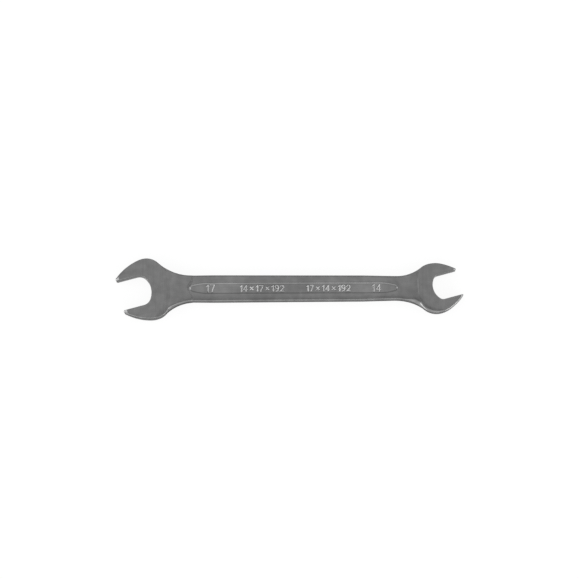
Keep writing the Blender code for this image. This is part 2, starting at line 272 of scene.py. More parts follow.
class WrenchSizes(bpy.types.PropertyGroup):
    """Sizes of the wrench."""

    overall: length("Overall length", "Length from jaw tip to jaw tip", HIGHEST.x - LOWEST.x - TIP_CLEARANCE)
    angle: FloatProperty(name="Jaw angle", description="Turn of both jaws from the shank",
                         default=jaw_angle(), subtype="ANGLE")
    large_opening: length("Large opening", "Distance between the large jaw's flats", jaw_opening("large"))
    large_width: length("Large head width", "Width across the large head", 0.03428)
    large_thickness: length("Large head thickness", "Thickness of the large head", HIGHEST.z - LOWEST.z)
    small_opening: length("Small opening", "Distance between the small jaw's flats", jaw_opening("small"))
    small_width: length("Small head width", "Width across the small head", 0.0281)
    small_thickness: length("Small head thickness", "Thickness of the small head",
                            HIGHEST.z - LOWEST.z - 2 * MOUNTS["small_head_underside"]["pos_m"][2])
    outer_edge: length("Outer edge", "Radius of the heads' outer edges", 0.00075)
    slot_edge: length("Slot edge", "Radius of the edges along the slots", 0.00014)
    shank_thickness: length("Shank thickness", "Thickness of the shank", 0.0048)
    recess_width: length("Recess width", "Width of the long recess", 0.0065)
    recess_depth: length("Recess depth", "Depth of the long recess", 0.0005)
    number_height: length("Number height", "Height of the raised numbers", 0.0039)
    number_rise: length("Number rise", "How far the numbers stand out of the recess", 0.00034)


class SteelLook(bpy.types.PropertyGroup):
    """Colours and surface of the steel."""

    ground: colour("Ground steel", "Colour of the ground faces", "#777777")
    forged: colour("Forged steel", "Colour of the shank and the edges", "#767676")
    broached: colour("Broached steel", "Colour of the walls of the slots", "#888888")
    # The rubbed colour is real wear on edges and numbers; it is also the colour of the painted glint at the
    # jaw tips and partly a painted highlight on the numbers' tops
    rubbed: colour("Rubbed steel", "Colour of high spots rubbed bright", "#c4c4c4")
    grazing: colour("Grazing tint", "Share of the mirrored light a face keeps seen from low down", "#909090")
    wall_grazing: colour("Grazing tint of walls", "The same share for upright walls", "#b4b4b4")
    ground_roughness: share("Ground roughness", "Roughness of the ground faces", 0.26)
    forged_roughness: share("Forged roughness", "Roughness of the shank and the edges", 0.26)
    streak_spacing: length("Streak spacing", "Distance between grinding streaks", 0.0006)
    streak_length: length("Streak length", "Length of a grinding streak", 0.0140)
    grain_size: length("Grain size", "Size of the grain on forged steel", 0.0004)
    cloud_size: length("Cloud size", "Size of the wide patches of tone", 0.0140)
    cloud_tone: share("Cloud tone", "Change of tone in the wide patches", 0.10)
    spot_size: length("Spot size", "Size of the small patches of tone", 0.0035)
    spot_tone: share("Spot tone", "Change of tone in the small patches", 0.07)
    scratch_length: length("Scratch length", "Length of a light scratch", 0.0120)
    scratch_width: length("Scratch width", "Width of a light scratch", 0.00016)
    scratch_tone: share("Scratch tone", "How much lighter a scratch is", 0.12)
    # Painted highlight: how much lighter the ends of the recess floor are painted
    painted_recess_sheen: share("Pale tone", "How much lighter the ends of the recess are", 0.14)
    # Painted shade at the small head's step, on its face and neck; at the large head, painted shade on the
    # face and painted light on the neck
    small_step_painted_shade: share("Small step tone", "How much darker the steel is at the small head's step", 0.10)
    large_step_painted_shade_and_light: share("Large step tone", "How much darker the large face and lighter its neck is", 0.05)
    wave_depth: length("Wave depth", "Depth of the waves of the forged surface", 0.00002)


class StudioLook(bpy.types.PropertyGroup):
    """Floor, lamps and camera."""

    floor: colour("Floor", "Colour of the floor", "#fafafa")
    world_level: share("World level", "Brightness of the surroundings", 0.66, 4.0)
    view_width: length("View width", "Width of the view at the wrench", 0.32048)
    camera_distance: length("Camera distance", "Distance from the camera to the wrench", 1.0)
    elevation: FloatProperty(name="Elevation", description="Height angle of the camera",
                             default=math.radians(80.0), subtype="ANGLE")
    roll: FloatProperty(name="Roll", description="Turn of the camera about its own axis",
                        default=math.radians(-0.2), subtype="ANGLE")


class Round(NamedTuple):
    """One arc of an outline: material lies inside a positive radius and outside a negative one.

    Meeting is the rim on the way from the round before, where that isn't the mean of both.
    """

    centre: complex
    radius: float
    rim: Rim = Rim()
    meeting: Rim = None


class Outline(NamedTuple):
    """Closed outline: points, their outward normals, and rim sizes as rows with a value for each point."""

    point: np.ndarray
    normal: np.ndarray
    rim: np.ndarray


# A head points along +X where its direction is +1, and setbacks are measured back from its centre
Head = namedtuple("Head", ("name", "centre", *OWN_SIZES, *COMMON_SIZES, *HEAD_PLANS))


def heads(sizes):
    """Large and small head, moved along X until their jaw tips end at half the overall length."""
    made = []
    for which, name in enumerate(("large", "small")):
        values = {size: pair[which] for size, pair in HEAD_PLANS.items()}
        values.update((size, getattr(sizes, f"{name}_{size}")) for size in OWN_SIZES)
        values.update((size, getattr(sizes, size)) for size in COMMON_SIZES)
        head = Head(name=name, centre=complex(0.0, -values["centre_drop"]), **values)
        tip = (outline(face_rounds(head)).point.real * head.direction).max()
        x = head.direction * (sizes.overall / 2 - tip)
        made.append(head._replace(centre=complex(x, head.centre.imag)))
    return made


def along_slot(head, along, across):
    """Plan point given along and across a head's slot, measured from the head's centre."""
    return head.centre + head.direction * complex(along, across) * cmath.rect(1.0, head.angle)


def x_behind(head, setback):
    """X of a place at a setback behind a head's centre."""
    return head.centre.real - head.direction * setback


def circles_meet(first, first_distance, second, second_distance):
    """Point at the two distances from two points, on the right of the line from first to second."""
    gap = second - first
    span = abs(gap)
    along = (first_distance ** 2 - second_distance ** 2 + span ** 2) / (2 * span)
    aside = math.sqrt(max(0.0, first_distance ** 2 - along ** 2))
    return first + gap / span * complex(along, -aside)


def shoulder(head, side):
    """Round at the back of the head, by the neck. Side is +1 on the side that the slot is turned to."""
    across = side * (head.width / 2 - head.shoulder_radius)
    rim = Rim(head.outer_edge, head.outer_edge) if side * head.direction > 0 else head.back_rim
    return Round(along_slot(head, 0.0, across), head.shoulder_radius, rim)


def bevelled(radius, share_of_radius):
    """Bevelled edge of a nose or a tip, as wide as a share of its radius."""
    width = share_of_radius * radius
    return Rim(width, width * NOSE_SLOPE, NOSE_BEVEL)


def jaw(head, side):
    """Rounds of one jaw, from the head's widest point over the flank, nose and tip into the slot."""
    outer = Rim(head.outer_edge, head.outer_edge) if side * head.direction > 0 else LOWER_OUTER_RIM
    across = side * (head.width / 2 - head.crown_radius)
    crown = Round(along_slot(head, 0.0, across), head.crown_radius, outer)
    flat = head.slot_shift + side * head.opening / 2
    nose_along = head.reach - head.nose_radius
    nose = Round(along_slot(head, nose_along, flat), head.nose_radius,
                 bevelled(head.nose_radius, NOSE_RIM_SHARE))
    tip_radius = TIP_RADIUS_SHARE * head.nose_radius
    tip_along = nose_along + math.sqrt((head.nose_radius - tip_radius) ** 2 - tip_radius ** 2)
    tip = Round(along_slot(head, tip_along, flat + side * tip_radius), tip_radius,
                bevelled(tip_radius, TIP_RIM_SHARE))
    into_slot = head.direction * cmath.rect(tip_radius, head.angle)
    tip_end = Round(tip.centre - into_slot, tip_radius, slot_rim(head))
    ends = [(end.centre, head.jaw_radius - end.radius) for end in (crown, nose)[::side]]
    flank = Round(circles_meet(*ends[0], *ends[1]), head.jaw_radius, outer)
    return [crown, flank, nose, tip, tip_end]


def slot_rim(head):
    """Small rounded edge along the slot."""
    return Rim(head.slot_edge, head.slot_edge, slot=1.0)


def throat(head):
    """Hollow rounds at the bottom of the slot, from its side -1 to its side +1."""
    throat_along = head.throat_radius - head.throat_depth
    inner = head.throat_radius - head.corner_radius
    corner_across = head.opening / 2 - head.corner_radius
    corner_along = throat_along - math.sqrt(inner ** 2 - corner_across ** 2)
    places = ((corner_along, -corner_across, head.corner_radius), (throat_along, 0.0, head.throat_radius),
              (corner_along, corner_across, head.corner_radius))
    return [Round(along_slot(head, along, head.slot_shift + across), -radius, slot_rim(head))
            for along, across, radius in places]


def neck_rim(head, side):
    """Edge along the neck: a small round on the side at +Y and a broad bevel on the side at -Y."""
    return UPPER_NECK_RIM if side * head.direction > 0 else head.lower_neck_rim


def neck(head, side, inset):
    """Hollow round between head and shank, touching the shoulder, and the waist set in by a little."""
    radius = head.open_neck_radius if side > 0 else head.steep_neck_radius
    back = shoulder(head, side)
    height = head.direction * side * (head.waist_width / 2 - inset + radius)
    reach = radius + back.radius
    aside = math.sqrt(reach ** 2 - (height - back.centre.imag) ** 2)
    return Round(complex(back.centre.real - head.direction * aside, height), -radius, neck_rim(head, side))


def back_round(head):
    """Wide round that the large face's back edge follows across the neck."""
    centre = complex(x_behind(head, head.step_setback - ROUND_STEP_RADIUS), ROUND_STEP_Y)
    return Round(centre, ROUND_STEP_RADIUS, ROUND_STEP_RIM)


def face_corner(head, side):
    """Round where the flat face's back edge meets the neck, touching the neck's hollow round."""
    hollow = neck(head, side, FACE_INSET)
    x = x_behind(head, head.face_setback - FACE_CORNER_RADIUS)
    reach = FACE_CORNER_RADIUS + abs(hollow.radius)
    aside = math.sqrt(reach ** 2 - (x - hollow.centre.real) ** 2)
    y = hollow.centre.imag - head.direction * side * aside
    return Round(complex(x, y), FACE_CORNER_RADIUS, FACE_CORNER_RIM)


def tucked(head, side):
    """Small round that touches the shoulder from within, just where the neck's hollow round touches it."""
    back, hollow = shoulder(head, side), neck(head, side, 0.0)
    outward = (hollow.centre - back.centre) / abs(hollow.centre - back.centre)
    return Round(back.centre + (back.radius - NECK_TUCK_RADIUS) * outward, NECK_TUCK_RADIUS)


def hip(head, top):
    """Full round where the shank reaches its own width. Top is +1 on the edge at +Y."""
    y = top * (head.hip_width / 2 - HIP_RADIUS)
    return Round(complex(x_behind(head, head.hip_setback), y), HIP_RADIUS)


def tangent_angle(first, second):
    """Angle of the outward normal of the line that joins two rounds of an outline."""
    gap = second.centre - first.centre
    cosine = (first.radius - second.radius) / abs(gap)
    return cmath.phase(gap) - math.acos(max(-1.0, min(1.0, cosine)))


def rim_between(first, second):
    """Rim sizes on the way from one round to the next."""
    return np.array(second.meeting or np.add(first.rim, second.rim) / 2)


def arc(last, here, following, start, end):
    """Points of one round: centre + radius times a normal that turns evenly from start to end.

    Rim sizes run from those on the way to the round to its own, which its middle part keeps, and on to those
    on the way to the next. They take at most a fixed share of a full round.
    """
    sweep = math.remainder(end - start, math.tau)
    count = 1 + max(1, math.ceil(abs(sweep) / MAX_TURN), math.ceil(abs(sweep * here.radius) / ARC_SPACING))
    normal = np.exp(1j * np.linspace(start, start + sweep, count))
    along = np.linspace(0.0, 1.0, count)
    stages = zip(rim_between(last, here), here.rim, here.rim, rim_between(here, following))
    rim = np.array([np.interp(along, RIM_KEPT, sizes) for sizes in stages])
    if here.radius > 0:
        rim[[0, 3]] *= np.minimum(1.0, WIDEST_RIM_SHARE * here.radius / (rim[0] + rim[3]))
    return Outline(here.centre + here.radius * normal, normal, rim)


def outline(rounds):
    """Closed outline that runs counterclockwise round all the rounds, joined by common tangents."""
    before = rounds[-1:] + rounds[:-1]
    after = rounds[1:] + rounds[:1]
    pieces = [arc(last, here, following, tangent_angle(last, here), tangent_angle(here, following))
              for last, here, following in zip(before, rounds, after)]
    whole = [np.concatenate(values, axis=-1) for values in zip(*pieces)]
    apart = np.abs(whole[0] - np.roll(whole[0], 1)) > MERGE_GAP
    return Outline(*(values[..., apart] for values in whole))


def ease(value):
    """Smooth step from 0 to 1: three times the value's square less twice its cube."""
    value = np.clip(value, 0.0, 1.0)
    return value * value * (3 - 2 * value)


def ramp(value):
    """Straight ramp from 0 to 1, rounded by parabolas at its two ends."""
    value = np.clip(value, 0.0, 1.0)
    near = np.minimum(value, 1.0 - value)
    corner = RECESS_CORNER_SHARE
    rise = np.where(near < corner, near ** 2 / (2 * corner), near - corner / 2) / (1.0 - corner)
    return np.where(value < 0.5, rise, 1.0 - rise)


def grid_quads(rows, columns, closed=False):
    """Corner numbers of a grid's quads. A closed grid joins its last column to its first."""
    number = np.arange(rows * columns).reshape(rows, columns)
    following = np.roll(number, -1, axis=1)
    last = columns if closed else columns - 1
    here, beside = number[:, :last], following[:, :last]
    return np.stack((here[:-1], beside[:-1], beside[1:], here[1:]), axis=-1).reshape(-1, 4)


def tube_faces(rows, columns):
    """Faces of a grid closed into a tube, with a cap on its first and its last ring."""
    number = np.arange(rows * columns).reshape(rows, columns)
    caps = [number[0, ::-1].tolist(), number[-1].tolist()]
    return grid_quads(rows, columns, closed=True).tolist() + caps


def new_piece(name, points, faces, materials, material_numbers=None, **values):
    """Smooth shaded object at the origin, with its place in its mesh and any values a point carries."""
    mesh = bpy.data.meshes.new(name)
    mesh.from_pydata(points.reshape(-1, 3).tolist(), [], faces)
    mesh.shade_smooth()
    for material in materials:
        mesh.materials.append(material)
    if material_numbers is not None:
        mesh.polygons.foreach_set("material_index", material_numbers)
    for value_name, value in values.items():
        mesh.attributes.new(value_name, "FLOAT", "POINT").data.foreach_set("value", value.ravel())
    mesh.update()
    piece = bpy.data.objects.new(name, mesh)
    bpy.context.scene.collection.objects.link(piece)
    return piece


def on_wrench(piece, replaces=False):
    """Lets a finished piece ride on the wrench."""
    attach(piece, BODY)
    if replaces:
        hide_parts(NODE)


def face_rounds(head):
    """Rounds of a head's flat face, with its slot and a back edge across the neck.

    The small head's back edge is straight. The large one's is a wide round.
    """
    rounds = [shoulder(head, -1)] + jaw(head, -1) + throat(head) + jaw(head, 1)[::-1] + [shoulder(head, 1)]
    if head.direction > 0:
        rounds[0] = rounds[0]._replace(meeting=STRAIGHT_STEP_RIM)
        return rounds + [neck(head, 1, FACE_INSET), face_corner(head, 1)]
    return rounds + [back_round(head), face_corner(head, -1), neck(head, -1, FACE_INSET)]


def head_surface(head):
    """Rim profile carried along the outline of a head.

    At each outline point the profile runs from the bottom face to the top face. The skirt falls by drop times
    the square of the share of it that is passed. Then the rim keeps the skirt's last slope and adds a quarter
    turn, in which width goes by cosine and height by sine, each to the power bevel. A profile point is the
    outline point + growth times the outward normal, at its own height.
    """
    edge = outline(face_rounds(head))
    width, depth, bevel, skirt, drop, _ = edge.rim
    band = np.linspace(0.0, 1.0, SKIRT_STEPS + 1)[:-1, None]
    turn = np.linspace(math.pi / 2, 0.0, EDGE_STEPS + 1)[:, None]
    across = width * np.maximum(np.cos(turn), 0.0) ** bevel
    down = depth * (1 - np.sin(turn) ** bevel)
    growth = np.vstack((-width - skirt * (1 - band), across - width))
    height = head.thickness / 2 - np.vstack((drop * band ** 2, drop + 2 * drop / skirt * across + down))
    wear = np.vstack((0 * growth[:SKIRT_STEPS], np.sin(2 * turn) + 0 * width))
    growth = np.vstack((growth, growth[::-1]))[::-1]
    height = np.vstack((height, -height[::-1]))[::-1]
    wear = np.vstack((wear, wear[::-1]))
    plan = edge.point + growth * edge.normal
    points = np.stack((plan.real, plan.imag, height + MIDDLE_HEIGHT), axis=-1)
    return points, wear, edge


def build_head(head, materials):
    """Head with two flat ground faces, forged sides and a broached slot."""
    points, wear, edge = head_surface(head)
    rows, columns = wear.shape
    row = np.repeat(np.arange(rows - 1), columns)
    on_face = (row < SKIRT_STEPS) | (row >= rows - 1 - SKIRT_STEPS)
    slot = edge.rim[-1]
    on_slot = np.tile(np.minimum(slot, np.roll(slot, -1)) > LEAST_SLOT_SHARE, rows - 1)
    numbers = np.where(on_face, 0, np.where(on_slot, 2, 1))
    numbers = np.concatenate((numbers, (0, 0))).astype(np.int32)
    return new_piece(f"{head.name}_head", points, tube_faces(rows, columns), materials, numbers, wear=wear)


def shank_edge(top, large, small):
    """X and Y of one long edge of the shank and its necks, in order of X. Top is +1 at +Y."""
    rounds = []
    for head in (small, large)[::top]:
        side = top * head.direction
        inward = [tucked(head, side), neck(head, side, 0.0), hip(head, top)]
        rounds += inward[::-1] if rounds else inward
    upright = top * math.pi / 2
    angles = [upright] + [tangent_angle(*pair) for pair in zip(rounds, rounds[1:])] + [upright]
    pieces = [arc(here, here, here, *pair).point for here, pair in zip(rounds, zip(angles, angles[1:]))]
    points = np.concatenate(pieces)
    points = points[np.argsort(points.real)]
    return points.real, points.imag


def recess_outline(large, small, width):
    """Boat-shaped outline of the recess: a small round at each end and long flat rounds along its sides."""
    rounds = []
    for head, other, top in ((small, large, 1), (large, small, -1)):
        x = x_behind(head, head.recess_setback + RECESS_TIP_RADIUS)
        rounds.append(Round(complex(x, 0.0), RECESS_TIP_RADIUS))
        for flank in (head, other):
            x = x_behind(flank, flank.recess_setback + RECESS_TAPER)
            y = top * (width / 2 - RECESS_SIDE_RADIUS)
            rounds.append(Round(complex(x, y), RECESS_SIDE_RADIUS))
    return outline(rounds)


def outside_by(plan, edge):
    """How far plan points lie outside an outline, measured square to its nearest stretch, negative inside."""
    start, end = edge.point, np.roll(edge.point, -1)
    line = end - start
    along = np.clip(((plan[..., None] - start) * line.conj()).real / np.abs(line) ** 2, 0.0, 1.0)
    away = plan[..., None] - (start + along * line)
    nearest = np.abs(away).argmin(axis=-1)
    away = np.take_along_axis(away, nearest[..., None], axis=-1)[..., 0]
    side = (away * (-1j * line[nearest]).conj()).real
    return np.abs(away) * np.where(side < 0, -1.0, 1.0)


def shank_stations(large, small):
    """X of each section: closest at the ends of the recess, close in the necks, and wide apart between."""
    left, right = ([x_behind(head, NECK_ROOT), x_behind(head, head.recess_setback - RECESS_TIP_RADIUS / 2),
                    x_behind(head, head.recess_setback + RECESS_TAPER)] for head in (large, small))
    marks = left + right[::-1]
    spacings = (NECK_SPACING, TIP_SPACING, SHANK_SPACING, TIP_SPACING, NECK_SPACING)
    stretches = [np.linspace(start, end, math.ceil(abs(end - start) / spacing), endpoint=False)
                 for start, end, spacing in zip(marks, marks[1:], spacings)]
    return np.concatenate(stretches + [marks[-1:]])


def shank_surface(large, small, sizes):
    """Upper half of the shank and necks as a height over X and a share across.

    Across each section, Y runs from one long edge through a quarter turn, a rim, the recess and back down to
    the other edge. In the quarter turn width goes by cosine and height by sine, each to the power bevel. The
    rim falls by the square of the share of it that is passed, and the quarter turn keeps its last slope. Half
    the thickness rises by smooth steps to just below the faces of the heads, most of it in a short rise that
    bows round the end of the recess. In the recess the height ramps from that surface to a level floor.
    """
    x = shank_stations(large, small)[:, None]
    upper = np.interp(x, *shank_edge(1, large, small))
    lower = np.interp(x, *shank_edge(-1, large, small))
    plain = SHANK_RIM[:3]
    upper_edge, lower_edge = ([value + 0 * x for value in plain] for _ in range(2))
    necks = []
    for head in (large, small):
        passed = head.recess_setback + NECK_LEAD - np.abs(x - head.centre.real)
        whole = ease(passed / (head.recess_setback + NECK_LEAD - head.face_setback))
        necks.append((passed, whole, head.thickness / 2 - NECK_STEP - sizes.shank_thickness / 2))
        for edge, side in ((upper_edge, head.direction), (lower_edge, -head.direction)):
            for value, at_head, at_shank in zip(edge, neck_rim(head, side), plain):
                value += whole ** NECK_RIM_LAG * (at_head - at_shank)
    turn = np.linspace(0.0, math.pi / 2, SHANK_EDGE_POINTS)[None, :]
    zone = sizes.recess_width / 2 + RECESS_WALL_RUN / 2
    middle = np.linspace(zone, -zone, math.ceil(2 * zone / ACROSS_SPACING))[None, :]
    rim = np.linspace(0.0, 1.0, RIM_STEPS + 1)[None, 1:-1]
    across, up = np.maximum(np.cos(turn), 0.0), np.sin(turn)
    upper_round = upper - upper_edge[0] * (1 - across ** upper_edge[2])
    lower_round = lower + lower_edge[0] * (1 - across ** lower_edge[2])
    upper_rim, lower_rim = upper_round[:, -1:] - zone, -zone - lower_round[:, -1:]
    y = np.hstack((upper_round, zone + upper_rim * (1 - rim), middle + 0 * x, -zone - lower_rim * rim,
                   lower_round[:, ::-1]))
    half = sizes.shank_thickness / 2
    for passed, whole, height in necks:
        early = NECK_RISE_BOW * ease(np.abs(y) / NECK_RISE_SPREAD)
        half = half + height * (NECK_RISE_SHARE * ease((passed + early) / NECK_RISE_RUN)
                                + (1 - NECK_RISE_SHARE) * whole)
    passed = np.maximum(0.0, np.where(y > 0, (y - zone) / upper_rim, (-zone - y) / lower_rim))
    z = half - SHANK_RIM_DROP * np.where(passed < 1, passed ** 2, 2 * passed - 1)
    z[:, :turn.size] -= upper_edge[1] * (1 - up ** upper_edge[2])
    z[:, -turn.size:] -= (lower_edge[1] * (1 - up ** lower_edge[2]))[:, ::-1]
    floor = sizes.shank_thickness / 2 - sizes.recess_depth
    inside = -outside_by(x + 1j * y, recess_outline(large, small, sizes.recess_width))
    z += (floor - z) * ramp(inside / RECESS_WALL_RUN)
    wear = np.zeros_like(z)
    wear[:, :turn.size] += np.sin(2 * turn)
    wear[:, -turn.size:] += np.sin(2 * turn)[:, ::-1]
    # Painted highlight: pale is 1 on the ends of the recess floor, which the steel paints lighter
    from_end = np.minimum(*(np.abs(x - head.centre.real) - head.recess_setback for head in (large, small)))
    pale = ramp(inside / RECESS_WALL_RUN) * ease((RECESS_SHEEN_END - from_end) / RECESS_SHEEN_RUN) * ease(from_end / RECESS_SHEEN_RUN)
    return x, y, z, wear, pale


def build_shank(large, small, sizes, material):
    """Flat oval bar with a long recess in both broad faces, widening through a neck into each head."""
    x, y, z, wear, pale = shank_surface(large, small, sizes)
    ring_y = np.hstack((y, y[:, ::-1]))
    ring_z = np.hstack((z, -z[:, ::-1])) + MIDDLE_HEIGHT
    points = np.stack((x + 0 * ring_y, ring_y, ring_z), axis=-1)
    rows, columns = ring_y.shape
    # pale carries the painted highlight on the ends of the recess floor
    wear, pale = (np.hstack((value, value[:, ::-1])) for value in (wear, pale))
    return new_piece("shank", points, tube_faces(rows, columns), [material], wear=wear, pale=pale)


def text_strokes(text, height):
    """Middle lines of a number's strokes, centred on zero, and the half width and half height they reach."""
    strokes, start = [], 0.0
    scale = height - 2 * STROKE_HALF_WIDTH
    for sign in text:
        lines = FIGURE_STROKES[sign]
        strokes += [np.array([complex(start + across, up) for across, up in line]) for line in lines]
        width = max((across for line in lines for across, _ in line), default=SPACE_SHARE)
        start += width + (FIGURE_GAP_SHARE if lines else 0.0)
    total = start - FIGURE_GAP_SHARE
    return [(stroke - complex(total, 1.0) / 2) * scale for stroke in strokes], total * scale / 2, scale / 2


def stroke_distance(plan, strokes):
    """Distance from plan points to the nearest stroke."""
    nearest = np.full(plan.shape, np.inf)
    for stroke in strokes:
        for start, end in zip(stroke, stroke[1:]):
            line = end - start
            along = np.clip(((plan - start) * line.conjugate()).real / abs(line) ** 2, 0.0, 1.0)
            nearest = np.minimum(nearest, np.abs(plan - start - along * line))
    return nearest


def number_patch(text, height, rise):
    """Height over a grid: a smooth step down from each stroke to just under the floor of the recess."""
    strokes, *halves = text_strokes(text, height)
    sides = [half + (STROKE_HALF_WIDTH + NUMBER_MARGIN) for half in halves]
    x, y = np.meshgrid(*(np.linspace(-side, side, math.ceil(2 * side / NUMBER_SPACING)) for side in sides))
    outside = stroke_distance(x + 1j * y, strokes) - STROKE_HALF_WIDTH
    raised = ease(0.5 - outside / STROKE_SLOPE)
    sunk = -NUMBER_ROOT * ease(outside / STROKE_SLOPE - 1.0)
    z = np.pad(raised * rise + sunk, 1, constant_values=-2 * NUMBER_ROOT)
    points = np.stack((np.pad(x, 1, mode="edge"), np.pad(y, 1, mode="edge"), z), axis=-1)
    return points, np.pad(raised, 1)


def rim_numbers(rows, columns):
    """Corner numbers round the border of a grid, clockwise seen from its front."""
    number = np.arange(rows * columns).reshape(rows, columns)
    border = np.concatenate((number[0, :-1], number[:-1, -1], number[-1, :0:-1], number[:0:-1, 0]))
    return border[::-1].tolist()


def build_number(name, text, place, face, height, sizes, material):
    """One raised number on the floor of the recess. Face is +1 on top and -1 underneath."""
    points, wear = number_patch(text, height, sizes.number_rise)
    floor = sizes.shank_thickness / 2 - sizes.recess_depth
    points = points * (1.0, face, face) + (place, 0.0, face * floor + MIDDLE_HEIGHT)
    rows, columns = wear.shape
    faces = grid_quads(rows, columns).tolist() + [rim_numbers(rows, columns)]
    # wear is 1 on the strokes, whose rubbed bright tops are partly a painted highlight
    return new_piece(name, points, faces, [material], wear=wear)


def add_node(tree, kind, inputs=None, output=0, **settings):
    """Adds a node, changes its settings, links or sets its inputs, and gives the output asked for."""
    new = tree.nodes.new("ShaderNode" + kind)
    for name, value in settings.items():
        setattr(new, name, value)
    for name, value in (inputs or {}).items():
        if isinstance(value, bpy.types.NodeSocket):
            tree.links.new(value, new.inputs[name])
        else:
            new.inputs[name].default_value = value
    return new.outputs[output]


class Grain(NamedTuple):
    """Fine pattern of a steel: sizes along its turned axes, turn about Z, share of tone, depth of bump."""

    size: tuple
    angle: float = 0.0
    tone: float = 0.06
    depth: float = 0.000004


def level(tree, value, low, high, start=0.3, end=0.7):
    """Value spread from the range start to end over the range low to high, and held there."""
    limits = {"From Min": start, "From Max": end, "To Min": low, "To Max": high}
    return add_node(tree, "MapRange", {"Value": value, **limits})


def sum_up(tree, operation, first, *others):
    """Runs one Math operation over all the values."""
    for other in others:
        first = add_node(tree, "Math", {0: first, 1: other}, operation=operation)
    return first


def turned(tree, centre, angle, size=(1.0, 1.0, 1.0)):
    """Object coordinates from a plan point along axes turned about Z, in steps of the sizes given."""
    place = add_node(tree, "TexCoord", output="Object")
    return add_node(tree, "Mapping", {"Vector": place, "Location": (centre.real, centre.imag, 0.0),
                                      "Rotation": (0.0, 0.0, angle), "Scale": size}, vector_type="TEXTURE")


def pattern(tree, size, angle=0.0, detail=3.0):
    """Noise whose features have the real size given along each of its turned axes."""
    place = turned(tree, 0j, angle, size)
    return add_node(tree, "TexNoise", {"Vector": place, "Scale": 1.0, "Detail": detail}, "Fac")


def grained(tree, grain):
    """Pattern of a grain, the factor of tone it gives, and its height."""
    fine = pattern(tree, grain.size, grain.angle)
    tone = level(tree, fine, 1 - grain.tone, 1 + grain.tone)
    return fine, tone, sum_up(tree, "MULTIPLY", fine, grain.depth)


def painted_step_light_and_shade(tree, head, tone):
    """Factor that runs along X from 1 plus a tone at a head's step to 1 at the step run from it. It paints
    the
    steel: painted shade where the tone is negative, painted light where it is positive.
    """
    step = complex(x_behind(head, head.step_setback), 0.0)
    along = add_node(tree, "SeparateXYZ", {0: turned(tree, step, 0.0)})
    distance = add_node(tree, "Math", {0: along}, operation="ABSOLUTE")
    return level(tree, distance, 1.0 + tone, 1.0, 0.0, STEP_SHADE_RUN)


def steel(name, base, grazing, roughness, grains, look, wear_share, area=None, glint_area=None, steps=()):
    """Metal with fine grains, soft patches of tone, a wavy surface, and edges rubbed brighter and smoother.

    With two grains and an area, the area's value runs from the first grain at 0 to the second at 1. A glint
    area paints a glint: it mixes the steel towards the rubbed colour by its own value. Steps are heads, each
    with a tone painted at its step: painted shade where the tone is negative, painted light where it is
    positive. The pale value, where a mesh carries it, paints a highlight on the ends of the recess floor.
    """
    material = bpy.data.materials.new(name)
    material.use_nodes = True
    tree = material.node_tree
    surface = tree.nodes["Principled BSDF"]
    layers = [grained(tree, grain) for grain in grains]
    if area:
        share_of_second = area(tree)
        layers = [tuple(add_node(tree, "Mix", {0: share_of_second, 2: first, 3: second})
                        for first, second in zip(*layers))]
    fine, fine_tone, fine_height = layers[0]
    cloud = pattern(tree, (look.cloud_size,) * 3, detail=2.0)
    spots = pattern(tree, (look.spot_size,) * 3, detail=2.0)
    scratch = pattern(tree, (look.scratch_length, look.scratch_width, look.scratch_width),
                      grains[0].angle + SCRATCH_TURN, detail=1.0)
    # The tone also holds painted light: the pale value paints a highlight on the ends of the recess floor,
    # and the steps paint shade and light by the heads' steps
    pale = add_node(tree, "Attribute", output="Fac", attribute_name="pale")
    tone = sum_up(tree, "MULTIPLY", fine_tone, level(tree, cloud, 1 - look.cloud_tone, 1 + look.cloud_tone),
                  level(tree, spots, 1 - look.spot_tone, 1 + look.spot_tone),
                  level(tree, scratch, 1.0, 1.0 + look.scratch_tone, SCRATCH_START, SCRATCH_FULL),
                  level(tree, pale, 1.0, 1.0 + look.painted_recess_sheen, 0.0, 1.0),
                  *(painted_step_light_and_shade(tree, *step) for step in steps))
    coloured = add_node(tree, "VectorMath", {0: base[:3], "Scale": tone}, operation="SCALE")
    wear = add_node(tree, "Attribute", output="Fac", attribute_name="wear")
    wear_and_glint = sum_up(tree, "MULTIPLY", wear, level(tree, spots, LEAST_EDGE_WEAR, 1.0), wear_share)
    # Painted glint: the glint area mixes the steel towards the rubbed colour and less roughness, on top of
    # the real edge wear
    if glint_area:
        rubbed = sum_up(tree, "MULTIPLY", glint_area(tree), level(tree, spots, LEAST_TIP_GLINT, 1.0))
        wear_and_glint = sum_up(tree, "MAXIMUM", wear_and_glint, rubbed)
    final = add_node(tree, "Mix", {0: wear_and_glint, 6: coloured, 7: look.rubbed}, 2, data_type="RGBA")
    rough = sum_up(tree, "ADD", level(tree, fine, roughness - GRAIN_ROUGHNESS, roughness + GRAIN_ROUGHNESS),
                   level(tree, cloud, -CLOUD_ROUGHNESS, CLOUD_ROUGHNESS),
                   level(tree, wear_and_glint, 0.0, -RUBBED_SMOOTHNESS, 0.0, 1.0))
    height = sum_up(tree, "ADD", fine_height, sum_up(tree, "MULTIPLY", spots, look.wave_depth))
    bump = add_node(tree, "Bump", {"Height": height, "Strength": 1.0, "Distance": 1.0})
    surface.inputs["Metallic"].default_value = 1.0
    surface.inputs["Specular Tint"].default_value = grazing
    tree.links.new(final, surface.inputs["Base Color"])
    tree.links.new(rough, surface.inputs["Roughness"])
    tree.links.new(bump, surface.inputs["Normal"])
    return material


